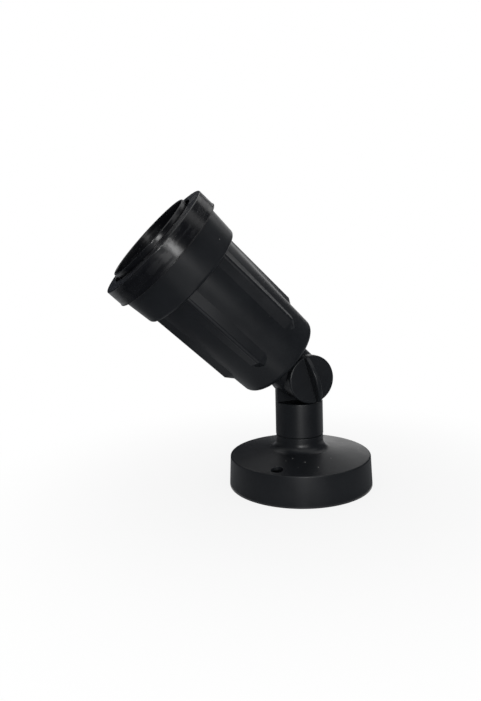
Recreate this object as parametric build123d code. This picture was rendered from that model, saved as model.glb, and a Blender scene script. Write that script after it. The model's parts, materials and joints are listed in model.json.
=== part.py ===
from build123d import *
import math
import os

# Landscape spotlight: a lamp head on a clamped knuckle, a swivelling stem and a round canopy base.
# Millimetres. The origin is the middle of the base's underside, +Z is up, the knuckle's hinge
# runs along Y with the clamp knob on the -Y side, and the head points towards -X and up.

# Gaps of the fits
RUN_GAP = 0.05
SLIP_GAP = 0.1
FACE_GAP = 0.1
LAMP_GAP = 0.3
STUD_GAP = 0.3
SEAM_GAP = 0.3
EAR_GAP = 0.4

# Base canopy
BASE_R = 50.0
RIM_R = 48.9
RIM_Z = 20.6
RIM_ROUND = 0.9
CROWN_Z = 26.0
FLARE_R = 6.0
BOSS_R = 16.3
BOSS_TOP_Z = 35.0
BASE_WALL = 3.5
BASE_ROOF = 3.0
HUB_R = 18.0
HUB_Z = 17.0
SEAL_WIDTH = 1.4
SEAL_HEIGHT = 2.0

# Fixing holes of the base
FIXING_R = 42.0
FIXING_ANGLE = 43.2
FIXING_COUNT = 2
FIXING_HOLE_R = 2.5
FIXING_HEAD_R = 4.0
FIXING_FLOOR = 6.0
FIXING_WALL = 2.2

# Terminal block under the roof of the base
BLOCK_R = 31.0
BLOCK_LENGTH = 28.0
BLOCK_WIDTH = 18.0
BLOCK_HEIGHT = 11.0
BLOCK_TOP_Z = 16.4
BLOCK_POST_R = 4.0
BLOCK_ROUND = 1.2
BLOCK_SCREW_R = 1.5
BLOCK_SCREW_HEAD_R = 2.8
BLOCK_SCREW_HEAD = 2.0
BLOCK_SCREW_GRIP = 2.6
POLE_PITCH = 15.0
SLEEVE_R = 2.6
SLEEVE_BORE_R = 1.6
SLEEVE_LENGTH = 15.0
TERMINAL_SCREW_R = 1.3
TERMINAL_SCREW_SPAN = 8.0
TERMINAL_SCREW_PROUD = 0.6

# Stem and its swivel tail
STEM_FOOT_R = 16.5
STEM_TOP_R = 16.3
LEDGE_Z = 58.8
LEDGE_ROUND = 0.7
SEAM_ROUND = 0.4
HINGE_Z = 76.2
TAIL_R = 11.0
TAIL_BORE_R = 6.0
TAIL_END_Z = 8.6
STEM_BORE_TOP_Z = 46.0
O_RING_Z = 27.0
O_RING_HEIGHT = 2.0
O_RING_DEPTH = 1.6
SWIVEL_WASHER = 1.2
SWIVEL_WASHER_R = 16.6
SWIVEL_NUT = 6.0
SWIVEL_NUT_FLATS = 30.0

# Knuckle: two half-lapped ears about the hinge
EAR_R = 15.8
EAR_FACE = 15.7
EAR_ROUND = 0.8
WIRE_BORE_R = 3.5
WIRE_BORE_OFFSET = 5.5
WIRE_BORE_END = 9.0
CHAMBER_IN_R = 7.0
CHAMBER_OUT_R = 11.0
CHAMBER_DEPTH = 8.0
BUSH_R = 5.0
BUSH_LENGTH = 17.0
HINGE_SEAL_IN_R = 12.0
HINGE_SEAL_WIDTH = 1.8
HINGE_SEAL_DEPTH = 1.4

# Clamp knob, its stud, washer and captive nut
KNOB_R = 16.2
KNOB_THICK = 4.2
KNOB_ROUND = 1.1
GRIP_RISE = 9.0
GRIP_OVERHANG = 1.2
GRIP_THICK = 3.2
GRIP_ROUND = 0.9
GRIP_LEAN = 16.0
STUD_R = 3.0
STUD_TIP = 14.4
STUD_HEAD_R = 5.0
STUD_HEAD = 2.6
KNOB_WASHER_R = 6.2
KNOB_WASHER = 1.2
CLAMP_NUT = 5.0
CLAMP_NUT_FLATS = 10.0
CLAMP_NUT_FACE = 0.5

# Head placement: distances along the head's axis are measured from the hinge
TILT = 43.4
SHOULDER = 17.0
NECK_R = 16.6
NECK_END = 20.0
SPIGOT_R = 10.0
SPIGOT_END = 28.2
SPIGOT_BORE_R = 5.5
ARM_SEAL = 1.0
ARM_SEAL_R = 14.6
LOCK_NUT = 4.5
LOCK_NUT_FLATS = 28.0

# Ribbed head body
BODY_REAR_R = 30.5
BODY_FRONT_R = 32.9
BODY_WALL = 2.2
BODY_FLOOR = 3.0
BODY_ROUND = 4.0
MOUTH = 103.5
MOUTH_STEP = 2.2
MOUTH_R = 35.5
MOUTH_WALL = 1.8
MOUTH_LENGTH = 16.0
RIB_COUNT = 6
RIB_TIP = 36.0
RIB_SHOULDER = 41.5
RIB_REAR_TOP_R = 34.7
RIB_FRONT_TOP_R = 35.4
RIB_TIP_HALF_ANGLE = 8.5
RIB_REAR_HALF_ANGLE = 13.0
RIB_FRONT_HALF_ANGLE = 15.5
RIB_CREST = 3.0
RIB_SINK = 0.3
POST_R = 3.5
POST_SPREAD = 22.0
POST_TOP = 31.0

# Front collar and front ring
COLLAR_OVERLAP = 1.8
COLLAR_LENGTH = 20.8
COLLAR_REAR_R = 38.1
COLLAR_FRONT_R = 39.3
COLLAR_ROUND = 2.0
COLLAR_LIP = 2.8
RING_LENGTH = 11.7
RING_R = 41.8
RING_BACK_R = 41.9
RING_BORE_R = 29.4
RING_SPIGOT = 12.6
RING_EDGE = 0.5
RING_DISH = 1.0
LIP_PROUD = 3.9
LIP_WALL = 1.5
GROOVE_R = 33.4
GROOVE_DEPTH = 4.0

# Lampholder on its strap
STRAP = 1.2
STRAP_END = 2.5
STRAP_WIDTH = 17.0
STRAP_HOLE_R = 6.0
STRAP_SCREW_R = 1.5
STRAP_SCREW_HEAD_R = 3.0
STRAP_SCREW_HEAD = 2.2
STRAP_SCREW_GRIP = 5.0
HOLDER_R = 17.2
HOLDER_FLOOR = 6.0
HOLDER_END = 68.0
HOLDER_SCREW_R = 1.25
HOLDER_SCREW_HEAD_R = 2.5
HOLDER_SCREW_HEAD = 1.9
HOLDER_SCREW_GRIP = 4.0
HOLDER_SCREW_SPREAD = 12.0
SHELL_BORE_R = 13.3
SHELL_WALL = 0.7
SHELL_START = 42.5
SHELL_END = 65.0
CONTACT_R = 4.0
CONTACT = 1.4
LEAD_R = 0.9
LEAD_SPREAD = 1.3
LEAD_OFFSET = 4.0
LEAD_START = 10.0
LEAD_GRIP = 3.5

# Reflector lamp with a screw cap
LAMP_SINK = 2.7
LAMP_RIM_R = 31.8
LAMP_RIM = 6.4
LAMP_NECK_R = 14.6
LAMP_NECK = 69.0
LAMP_WALL = 1.4
CAP_R = 13.0
CAP_WALL = 0.6
CAP_START = 44.0
TIP_R = 5.0
TIP_PROUD = 0.9
INSULATOR_LAND = 3.0
LENS = 3.0
LENS_CROWN = 2.4
LENS_MARGIN = 1.2
LAMP_BULGE = 1.0
CAPSULE_R = 5.5
CAPSULE_SETBACK = 15.9
CAPSULE_INSET = 3.0

# Heights and radii that follow from the sizes above
BASE_INNER_R = BASE_R - BASE_WALL
ROOF_RIM_Z = RIM_Z - BASE_ROOF
STEM_FOOT_Z = BOSS_TOP_Z + SEAM_GAP
EAR_INNER = EAR_GAP / 2
KNOB_BACK = EAR_FACE + SEAM_GAP
KNOB_FACE = KNOB_BACK + KNOB_THICK
BODY_INNER_FLOOR = NECK_END + BODY_FLOOR
BODY_END = MOUTH + MOUTH_LENGTH
COLLAR_REAR = MOUTH - COLLAR_OVERLAP
COLLAR_FRONT = COLLAR_REAR + COLLAR_LENGTH
RING_BACK = COLLAR_FRONT + FACE_GAP
RING_SPIGOT_REAR = RING_BACK - RING_SPIGOT
RING_FACE = RING_BACK + RING_LENGTH
LIP_END = RING_FACE + LIP_PROUD
GROOVE_FLOOR = RING_FACE - GROOVE_DEPTH
STRAP_LENGTH = 2 * (POST_SPREAD + STRAP_END)
STRAP_FRONT = POST_TOP + STRAP
HOLDER_BORE_FLOOR = STRAP_FRONT + HOLDER_FLOOR
HOLDER_BORE_R = SHELL_BORE_R + SHELL_WALL
LAMP_TIP = HOLDER_BORE_FLOOR + CONTACT + FACE_GAP
LAMP_FACE = RING_BACK - LAMP_SINK
LAMP_RIM_REAR = LAMP_FACE - LAMP_RIM
CAPSULE_FRONT = LAMP_FACE - CAPSULE_SETBACK

# Frames: HINGE has its Z outwards along the knob's axis, HEAD its Z along the head's axis
HINGE = Pos(0, 0, HINGE_Z) * Rot(90, 0, 0)
HEAD = Pos(0, 0, HINGE_Z) * Rot(0, TILT - 90, 0)


def turned(outline):
    """Solid of revolution about Z from a closed outline in radius and height."""
    return revolve(Plane.XZ * outline, Axis.Z)


def corners(*points):
    """Closed flat outline through the points."""
    return make_face(Polyline(*points, close=True))


def rounded(outline, *places):
    """The outline with a round of the given size at each (radius, height, size)."""
    for radius, height, size in places:
        outline = fillet(outline.vertices().sort_by_distance((radius, height))[0], size)
    return outline


def rod(radius, start, end):
    """Cylinder about Z between two heights."""
    return Pos(0, 0, start) * Cylinder(radius, end - start, align=(Align.CENTER, Align.CENTER, Align.MIN))


def tube(bore, radius, start, end):
    """Ring about Z between two heights."""
    return rod(radius, start, end) - rod(bore, start, end)


def block(length, width, start, end):
    """Box about Z between two heights."""
    return Pos(0, 0, start) * Box(length, width, end - start, align=(Align.CENTER, Align.CENTER, Align.MIN))


def hexagon(flats, start, end):
    """Hexagonal prism about Z between two heights."""
    across = RegularPolygon(flats / math.sqrt(3), 6)
    return Pos(0, 0, start) * extrude(across, end - start)


def around(count, radius, angle, shape):
    """The shape repeated on a circle about Z."""
    return [Rot(0, 0, angle + step * 360 / count) * Pos(radius, 0, 0) * shape for step in range(count)]


def pair(spread, shape):
    """The shape on both sides of the Z axis, along X."""
    return [Pos(side * spread, 0, 0) * shape for side in (-1, 1)]


def group(shapes):
    """Separate solids in one node."""
    return Compound(children=[solid for shape in shapes for solid in shape.solids()])


def on_straight(x0, y0, x1, y1, x):
    """Height at x of the straight line between two points."""
    return y0 + (y1 - y0) * (x - x0) / (x1 - x0)


def body_radius(along):
    """Outside radius of the head body between its ribs."""
    return on_straight(NECK_END, BODY_REAR_R, MOUTH, BODY_FRONT_R, along)


def roof_height(radius):
    """Height of the base's sloping top."""
    return on_straight(BOSS_R, CROWN_Z, RIM_R, RIM_Z, radius)


def base_canopy():
    bore = TAIL_R + SLIP_GAP
    outline = make_face(Polyline(
        (BASE_INNER_R, 0), (BASE_R, 0), (RIM_R, RIM_Z), (BOSS_R, CROWN_Z), (BOSS_R, BOSS_TOP_Z),
        (bore, BOSS_TOP_Z), (bore, HUB_Z), (HUB_R, HUB_Z), (HUB_R, roof_height(HUB_R) - BASE_ROOF),
        (RIM_R - BASE_WALL, ROOF_RIM_Z), close=True))
    shell = turned(rounded(
        outline, (RIM_R, RIM_Z, RIM_ROUND), (BOSS_R, CROWN_Z, FLARE_R), (BOSS_R, BOSS_TOP_Z, SEAM_ROUND)))
    post = rod(FIXING_HEAD_R + FIXING_WALL, 0, (ROOF_RIM_Z + RIM_Z) / 2)
    shell += [*around(FIXING_COUNT, FIXING_R, FIXING_ANGLE, post)]
    shell += under_roof(rod(BLOCK_POST_R, BLOCK_TOP_Z, roof_height(BLOCK_R) - BASE_ROOF / 2))
    hole = rod(FIXING_HOLE_R, 0, FIXING_FLOOR) + rod(FIXING_HEAD_R, FIXING_FLOOR, BOSS_TOP_Z)
    shell -= [*around(FIXING_COUNT, FIXING_R, FIXING_ANGLE, hole)]
    shell -= under_roof(rod(BLOCK_SCREW_R, BLOCK_TOP_Z, BLOCK_TOP_Z + BLOCK_SCREW_GRIP))
    middle = BASE_R - BASE_WALL / 2
    half = SEAL_WIDTH / 2
    return shell - tube(middle - half, middle + half, 0, SEAL_HEIGHT)


def base_seal():
    middle = BASE_R - BASE_WALL / 2
    half = SEAL_WIDTH / 2 - RUN_GAP
    return tube(middle - half, middle + half, FACE_GAP, SEAL_HEIGHT)


def under_roof(shape):
    """Puts a shape of the terminal block in its place beside the fixing holes."""
    return Rot(0, 0, FIXING_ANGLE + 90) * Pos(BLOCK_R, 0, 0) * shape


def sleeve_places(shape):
    """The shape on both poles of the terminal block."""
    return [Pos(0, side * POLE_PITCH / 2, 0) * shape for side in (-1, 1)]


def sleeve_axis_z():
    return BLOCK_TOP_Z - BLOCK_HEIGHT / 2


def terminal_screw_places(shape):
    """The shape at both ends of both poles."""
    return [place for end in pair(TERMINAL_SCREW_SPAN / 2, shape) for place in sleeve_places(end)]


def terminal_block():
    bottom = BLOCK_TOP_Z - BLOCK_HEIGHT
    body = block(BLOCK_WIDTH, BLOCK_LENGTH, bottom, BLOCK_TOP_Z)
    body = fillet(body.edges().filter_by(Axis.Z), BLOCK_ROUND)
    body -= rod(BLOCK_SCREW_R + SLIP_GAP, bottom, BLOCK_TOP_Z)
    bore = Pos(0, 0, sleeve_axis_z()) * Rot(0, 90, 0) * Cylinder(SLEEVE_R + RUN_GAP, BLOCK_WIDTH)
    body -= sleeve_places(bore)
    well = rod(TERMINAL_SCREW_R + SLIP_GAP, bottom, sleeve_axis_z())
    body -= terminal_screw_places(well)
    return under_roof(body)


def terminal_sleeves():
    sleeve = Rot(0, 90, 0) * tube(SLEEVE_BORE_R, SLEEVE_R, -SLEEVE_LENGTH / 2, SLEEVE_LENGTH / 2)
    sleeve = Pos(0, 0, sleeve_axis_z()) * sleeve
    sleeve -= pair(TERMINAL_SCREW_SPAN / 2, rod(TERMINAL_SCREW_R + SLIP_GAP, 0, sleeve_axis_z()))
    return group([under_roof(place) for place in sleeve_places(sleeve)])


def terminal_screws():
    bottom = BLOCK_TOP_Z - BLOCK_HEIGHT
    screw = rod(TERMINAL_SCREW_R, bottom - TERMINAL_SCREW_PROUD, sleeve_axis_z() - SLEEVE_BORE_R / 2)
    screw -= block(2 * TERMINAL_SCREW_R, TERMINAL_SCREW_R / 2, 0, bottom)
    return group([under_roof(place) for place in terminal_screw_places(screw)])


def block_screw():
    bottom = BLOCK_TOP_Z - BLOCK_HEIGHT
    screw = rod(BLOCK_SCREW_R - RUN_GAP, bottom, BLOCK_TOP_Z + BLOCK_SCREW_GRIP - RUN_GAP)
    screw += rod(BLOCK_SCREW_HEAD_R, bottom - BLOCK_SCREW_HEAD, bottom)
    screw -= block(2 * BLOCK_SCREW_HEAD_R, BLOCK_SCREW_HEAD_R / 4, 0, bottom - BLOCK_SCREW_HEAD / 2)
    return under_roof(screw)


def far_side(size):
    """Half space beyond the ears' meeting face, towards +Y."""
    return Pos(0, EAR_INNER, 0) * Box(size, size, size, align=(Align.CENTER, Align.MIN, Align.CENTER))


def near_side(size):
    """Half space on the knob's side of the ears' meeting face."""
    return Pos(0, -EAR_INNER, 0) * Box(size, size, size, align=(Align.CENTER, Align.MAX, Align.CENTER))


def beyond_ears(size):
    """Space outside the flat outer faces of both ears."""
    return Box(size, 2 * size, size) - Box(size, 2 * EAR_FACE, size)


def ear_disc():
    """Round end of an ear, along the knob's axis, with a rounded outer rim."""
    disc = rod(EAR_R, EAR_INNER, EAR_FACE)
    return fillet(disc.edges().filter_by(GeomType.CIRCLE).sort_by(Axis.Z)[-1], EAR_ROUND)


def wire_chamber():
    """Ring-shaped room about the hinge bush, where the leads pass from ear to ear."""
    return tube(CHAMBER_IN_R, CHAMBER_OUT_R, EAR_INNER, EAR_INNER + CHAMBER_DEPTH)


def seal_groove():
    return tube(HINGE_SEAL_IN_R, HINGE_SEAL_IN_R + HINGE_SEAL_WIDTH, EAR_INNER, EAR_INNER + HINGE_SEAL_DEPTH)


def lower_stem():
    outline = corners((0, STEM_FOOT_Z), (STEM_FOOT_R, STEM_FOOT_Z), (STEM_TOP_R, HINGE_Z), (0, HINGE_Z))
    column = turned(rounded(outline, (STEM_FOOT_R, STEM_FOOT_Z, SEAM_ROUND)))
    top = block(4 * STEM_FOOT_R, 4 * STEM_FOOT_R, LEDGE_Z, HINGE_Z + STEM_FOOT_R)
    column -= top - (far_side(8 * HINGE_Z) - beyond_ears(8 * HINGE_Z))
    ledge = column.edges().filter_by(GeomType.CIRCLE).sort_by_distance((0, -STEM_FOOT_R, LEDGE_Z))[0]
    column = fillet(ledge, LEDGE_ROUND)
    far_ear = HINGE * Rot(180, 0, 0)
    stem = column + far_ear * ear_disc()
    stem += rod(TAIL_R, TAIL_END_Z, STEM_FOOT_Z)
    stem -= rod(TAIL_BORE_R, TAIL_END_Z, STEM_BORE_TOP_Z)
    wire_bore = rod(WIRE_BORE_R, STEM_BORE_TOP_Z - WIRE_BORE_R, HINGE_Z - WIRE_BORE_END)
    stem -= Pos(0, WIRE_BORE_OFFSET, 0) * wire_bore
    stem -= far_ear * (wire_chamber() + seal_groove() + rod(BUSH_R + RUN_GAP, EAR_INNER, BUSH_LENGTH / 2))
    stem -= far_ear * rod(STUD_R + STUD_GAP, BUSH_LENGTH / 2, EAR_FACE)
    nut_face = EAR_FACE - CLAMP_NUT_FACE
    stem -= far_ear * hexagon(CLAMP_NUT_FLATS + 2 * SLIP_GAP, nut_face - CLAMP_NUT, EAR_FACE)
    groove = tube(TAIL_R - O_RING_DEPTH, TAIL_R, O_RING_Z, O_RING_Z + O_RING_HEIGHT)
    return stem - groove


def swivel_o_ring():
    bottom = O_RING_Z + RUN_GAP
    top = O_RING_Z + O_RING_HEIGHT - RUN_GAP
    return tube(TAIL_R - O_RING_DEPTH + RUN_GAP, TAIL_R + RUN_GAP, bottom, top)


def swivel_washer():
    top = HUB_Z - FACE_GAP
    return tube(TAIL_R + SLIP_GAP, SWIVEL_WASHER_R, top - SWIVEL_WASHER, top)


def swivel_nut():
    top = HUB_Z - FACE_GAP - SWIVEL_WASHER
    return hexagon(SWIVEL_NUT_FLATS, top - SWIVEL_NUT, top) - rod(TAIL_R + RUN_GAP, top - SWIVEL_NUT, top)


def clamp_nut():
    face = EAR_FACE - CLAMP_NUT_FACE
    nut = hexagon(CLAMP_NUT_FLATS, face - CLAMP_NUT, face) - rod(STUD_R + RUN_GAP, face - CLAMP_NUT, face)
    return HINGE * Rot(180, 0, 0) * nut


def hinge_bush():
    return HINGE * tube(STUD_R + STUD_GAP, BUSH_R, -BUSH_LENGTH / 2, BUSH_LENGTH / 2)


def hinge_seal():
    inner = HINGE_SEAL_IN_R + RUN_GAP
    outer = HINGE_SEAL_IN_R + HINGE_SEAL_WIDTH - RUN_GAP
    return HINGE * Rot(180, 0, 0) * tube(inner, outer, FACE_GAP - EAR_INNER, EAR_INNER + HINGE_SEAL_DEPTH)


def knuckle_arm():
    neck = rod(NECK_R, 0, NECK_END)
    below = block(4 * NECK_R, 4 * NECK_R, -NECK_R, SHOULDER)
    neck -= below - (near_side(8 * NECK_END) - beyond_ears(8 * NECK_END))
    near_ear = Rot(90, 0, 0)
    arm = neck + near_ear * ear_disc()
    arm += rod(SPIGOT_R, NECK_END, SPIGOT_END)
    arm -= rod(SPIGOT_BORE_R, SHOULDER + WIRE_BORE_R / 2, SPIGOT_END)
    arm -= Pos(0, -WIRE_BORE_OFFSET, 0) * rod(WIRE_BORE_R, WIRE_BORE_END, NECK_END)
    arm -= near_ear * (wire_chamber() + rod(BUSH_R + RUN_GAP, EAR_INNER, BUSH_LENGTH / 2 + FACE_GAP))
    arm -= near_ear * rod(STUD_R + STUD_GAP, BUSH_LENGTH / 2, EAR_FACE)
    arm -= near_ear * rod(KNOB_WASHER_R + SLIP_GAP, EAR_FACE - KNOB_WASHER, EAR_FACE)
    arm -= tube(SPIGOT_R, ARM_SEAL_R + SLIP_GAP, NECK_END - ARM_SEAL, NECK_END)
    return HEAD * arm


def arm_seal():
    return HEAD * tube(SPIGOT_R + SLIP_GAP, ARM_SEAL_R, NECK_END - ARM_SEAL, NECK_END)


def arm_lock_nut():
    start = BODY_INNER_FLOOR
    nut = hexagon(LOCK_NUT_FLATS, start, start + LOCK_NUT)
    return HEAD * (nut - rod(SPIGOT_R + RUN_GAP, start, start + LOCK_NUT))


def rib_section(along, top_radius, half_angle):
    """Cross-section of a rib: two slopes that meet in a soft crest."""
    foot = body_radius(along) - RIB_SINK
    x = foot * math.cos(math.radians(half_angle))
    y = foot * math.sin(math.radians(half_angle))
    shoulder = top_radius - RIB_CREST / 4
    slopes = Polyline((shoulder, RIB_CREST / 2), (x, y), (x, -y), (shoulder, -RIB_CREST / 2))
    crest = ThreePointArc((shoulder, -RIB_CREST / 2), (top_radius, 0), (shoulder, RIB_CREST / 2))
    return Pos(0, 0, along) * make_face(slopes.edges() + crest.edges())


def rib():
    """One raised rib, which runs out in a ramp at the rear."""
    front = MOUTH + MOUTH_STEP / 2
    tip_top = body_radius(RIB_TIP) + RIB_SINK
    return loft([
        rib_section(RIB_TIP, tip_top, RIB_TIP_HALF_ANGLE),
        rib_section(RIB_SHOULDER, RIB_REAR_TOP_R, RIB_REAR_HALF_ANGLE),
        rib_section(front, RIB_FRONT_TOP_R, RIB_FRONT_HALF_ANGLE)], ruled=True)


def head_body():
    mouth_in = MOUTH_R - MOUTH_WALL
    throat = MOUTH + MOUTH_STEP
    outline = corners(
        (SPIGOT_R + SLIP_GAP, NECK_END), (BODY_REAR_R, NECK_END), (BODY_FRONT_R, MOUTH), (MOUTH_R, MOUTH),
        (MOUTH_R, BODY_END), (mouth_in, BODY_END), (mouth_in, throat), (BODY_FRONT_R - BODY_WALL, throat),
        (BODY_REAR_R - BODY_WALL, BODY_INNER_FLOOR), (SPIGOT_R + SLIP_GAP, BODY_INNER_FLOOR))
    inner_round = BODY_ROUND - BODY_WALL
    outline = rounded(
        outline, (BODY_REAR_R, NECK_END, BODY_ROUND),
        (BODY_REAR_R - BODY_WALL, BODY_INNER_FLOOR, inner_round))
    body = turned(outline)
    body += [*around(RIB_COUNT, 0, 0, rib())]
    body += pair(POST_SPREAD, rod(POST_R, NECK_END + BODY_FLOOR / 2, POST_TOP))
    body -= pair(POST_SPREAD, rod(STRAP_SCREW_R, POST_TOP - STRAP_SCREW_GRIP, POST_TOP))
    return HEAD * body


def front_collar():
    bore = MOUTH_R + SLIP_GAP
    lip_bore = MOUTH_R - MOUTH_WALL + SLIP_GAP
    lip_rear = COLLAR_FRONT - COLLAR_LIP
    outline = corners(
        (bore, COLLAR_REAR), (COLLAR_REAR_R, COLLAR_REAR), (COLLAR_FRONT_R, COLLAR_FRONT),
        (lip_bore, COLLAR_FRONT), (lip_bore, lip_rear), (bore, lip_rear))
    outline = rounded(
        outline, (COLLAR_REAR_R, COLLAR_REAR, COLLAR_ROUND), (COLLAR_FRONT_R, COLLAR_FRONT, RING_EDGE))
    return HEAD * turned(outline)


def front_ring():
    spigot_r = MOUTH_R - MOUTH_WALL - SLIP_GAP
    socket_r = LAMP_RIM_R + LAMP_GAP
    lip_r = RING_BORE_R + LIP_WALL
    web_rear = LAMP_FACE + FACE_GAP
    dish_top = RING_FACE + RING_DISH
    outline = corners(
        (socket_r, RING_SPIGOT_REAR), (spigot_r, RING_SPIGOT_REAR), (spigot_r, RING_BACK),
        (RING_BACK_R, RING_BACK), (RING_R, RING_FACE), (GROOVE_R, dish_top), (GROOVE_R, GROOVE_FLOOR),
        (lip_r, GROOVE_FLOOR), (lip_r, LIP_END), (RING_BORE_R, LIP_END), (RING_BORE_R, web_rear),
        (socket_r, web_rear))
    edges = [(RING_BACK_R, RING_BACK), (RING_R, RING_FACE), (GROOVE_R, dish_top), (lip_r, LIP_END),
             (RING_BORE_R, LIP_END)]
    return HEAD * turned(rounded(outline, *[(radius, along, RING_EDGE) for radius, along in edges]))


def holder_strap():
    strap = block(STRAP_LENGTH, STRAP_WIDTH, POST_TOP, STRAP_FRONT)
    strap = fillet(strap.edges().filter_by(Axis.Z), STRAP_WIDTH / 4)
    strap -= rod(STRAP_HOLE_R, POST_TOP, STRAP_FRONT)
    strap -= pair(POST_SPREAD, rod(STRAP_SCREW_R + SLIP_GAP, POST_TOP, STRAP_FRONT))
    strap -= pair(HOLDER_SCREW_SPREAD, rod(HOLDER_SCREW_R + SLIP_GAP, POST_TOP, STRAP_FRONT))
    return HEAD * strap


def strap_screws():
    screw = rod(STRAP_SCREW_R - RUN_GAP, POST_TOP - STRAP_SCREW_GRIP + RUN_GAP, STRAP_FRONT)
    screw += rod(STRAP_SCREW_HEAD_R, STRAP_FRONT, STRAP_FRONT + STRAP_SCREW_HEAD)
    slot_floor = STRAP_FRONT + STRAP_SCREW_HEAD / 2
    slot = block(2 * STRAP_SCREW_HEAD_R, STRAP_SCREW_HEAD_R / 4, slot_floor, HOLDER_END)
    return group([HEAD * place for place in pair(POST_SPREAD, screw - slot)])


def lampholder():
    holder = rod(HOLDER_R, STRAP_FRONT, HOLDER_END)
    holder -= rod(HOLDER_BORE_R, HOLDER_BORE_FLOOR, HOLDER_END)
    holder -= pair(HOLDER_SCREW_SPREAD, rod(HOLDER_SCREW_R, STRAP_FRONT, STRAP_FRONT + HOLDER_SCREW_GRIP))
    lead_hole = rod(LEAD_R + SLIP_GAP, STRAP_FRONT, STRAP_FRONT + LEAD_GRIP)
    holder -= pair(LEAD_SPREAD, Pos(0, -LEAD_OFFSET, 0) * lead_hole)
    return HEAD * holder


def holder_screws():
    screw = rod(HOLDER_SCREW_R - RUN_GAP, POST_TOP, STRAP_FRONT + HOLDER_SCREW_GRIP - RUN_GAP)
    screw += rod(HOLDER_SCREW_HEAD_R, POST_TOP - HOLDER_SCREW_HEAD, POST_TOP)
    return group([HEAD * place for place in pair(HOLDER_SCREW_SPREAD, screw)])


def holder_shell():
    return HEAD * tube(SHELL_BORE_R, HOLDER_BORE_R - RUN_GAP, SHELL_START, SHELL_END)


def holder_contact():
    return HEAD * rod(CONTACT_R, HOLDER_BORE_FLOOR, HOLDER_BORE_FLOOR + CONTACT)


def lamp_leads():
    lead = Pos(0, -LEAD_OFFSET, 0) * rod(LEAD_R, LEAD_START, STRAP_FRONT + LEAD_GRIP - SLIP_GAP)
    return group([HEAD * place for place in pair(LEAD_SPREAD, lead)])


def lens_rear():
    """Where the lens sits on the front edge of the lamp's reflector."""
    return LAMP_FACE - LENS


def dish(wall):
    """Curved side of the lamp's reflector, from its neck to its rim, moved inwards by a wall."""
    rear = (LAMP_NECK_R - wall, LAMP_NECK + wall)
    front = (LAMP_RIM_R - wall, LAMP_RIM_REAR + wall)
    middle = ((rear[0] + front[0]) / 2 + LAMP_BULGE, (rear[1] + front[1]) / 2 - LAMP_BULGE)
    return ThreePointArc(rear, middle, front)


def lamp_reflector():
    hole = CAPSULE_R + RUN_GAP
    front = lens_rear()
    rim = Polyline(
        (LAMP_RIM_R, LAMP_RIM_REAR), (LAMP_RIM_R, front), (LAMP_RIM_R - LAMP_WALL, front),
        (LAMP_RIM_R - LAMP_WALL, LAMP_RIM_REAR + LAMP_WALL))
    neck = Polyline(
        (LAMP_NECK_R - LAMP_WALL, LAMP_NECK + LAMP_WALL), (hole, LAMP_NECK + LAMP_WALL), (hole, LAMP_NECK),
        (LAMP_NECK_R, LAMP_NECK))
    outline = make_face(dish(0).edges() + rim.edges() + dish(LAMP_WALL).edges() + neck.edges())
    return HEAD * turned(outline)


def lamp_lens():
    dome_r = RING_BORE_R - LENS_MARGIN
    dome_curve_r = (dome_r**2 + LENS_CROWN**2) / (2 * LENS_CROWN)
    half_way = LAMP_FACE + LENS_CROWN - dome_curve_r + math.sqrt(dome_curve_r**2 - dome_r**2 / 4)
    dome = ThreePointArc((dome_r, LAMP_FACE), (dome_r / 2, half_way), (0, LAMP_FACE + LENS_CROWN))
    back = Polyline(
        (0, LAMP_FACE + LENS_CROWN), (0, lens_rear()), (LAMP_RIM_R, lens_rear()), (LAMP_RIM_R, LAMP_FACE),
        (dome_r, LAMP_FACE))
    return HEAD * turned(make_face(dome.edges() + back.edges()))


def lamp_capsule():
    tube_end = rod(CAPSULE_R, CAP_START + CAPSULE_INSET, CAPSULE_FRONT)
    tube_end = fillet(tube_end.edges().filter_by(GeomType.CIRCLE).sort_by(Axis.Z)[-1], CAPSULE_R * 0.8)
    return HEAD * tube_end


def lamp_cap():
    return HEAD * tube(CAP_R - CAP_WALL, CAP_R, CAP_START, LAMP_NECK)


def lamp_insulator():
    hole = TIP_R + RUN_GAP
    start = LAMP_TIP + TIP_PROUD
    plug = CAP_R - CAP_WALL - RUN_GAP
    outline = corners(
        (hole, start), (hole + INSULATOR_LAND, start), (plug, CAP_START), (plug, CAP_START + CAPSULE_INSET),
        (hole, CAP_START + CAPSULE_INSET))
    return HEAD * turned(outline)


def lamp_tip():
    return HEAD * rod(TIP_R, LAMP_TIP, CAP_START + CAPSULE_INSET)


def clamp_knob():
    disc = rod(KNOB_R, KNOB_BACK, KNOB_FACE)
    disc = fillet(disc.edges().filter_by(GeomType.CIRCLE).sort_by(Axis.Z)[-1], KNOB_ROUND)
    half = KNOB_R + GRIP_OVERHANG
    wheel_r = (half**2 + GRIP_RISE**2) / (2 * GRIP_RISE)
    wheel = Cylinder(wheel_r, GRIP_THICK)
    wheel = fillet(wheel.edges().filter_by(GeomType.CIRCLE), GRIP_ROUND)
    wheel = Pos(0, 0, KNOB_FACE + GRIP_RISE - wheel_r) * Rot(0, 90, 0) * wheel
    grip = wheel & rod(KNOB_R - KNOB_ROUND / 2, KNOB_BACK + KNOB_THICK / 2, KNOB_FACE + GRIP_RISE)
    knob = disc + Rot(0, 0, GRIP_LEAN) * grip
    return HINGE * (knob - rod(STUD_HEAD_R + RUN_GAP, KNOB_BACK, KNOB_BACK + STUD_HEAD))


def knob_stud():
    head_top = KNOB_BACK + STUD_HEAD
    return HINGE * (rod(STUD_R, -STUD_TIP, head_top) + rod(STUD_HEAD_R, KNOB_BACK, head_top))


def knob_washer():
    top = KNOB_BACK - FACE_GAP
    return HINGE * tube(STUD_R + SLIP_GAP, KNOB_WASHER_R, top - KNOB_WASHER, top)


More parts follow.
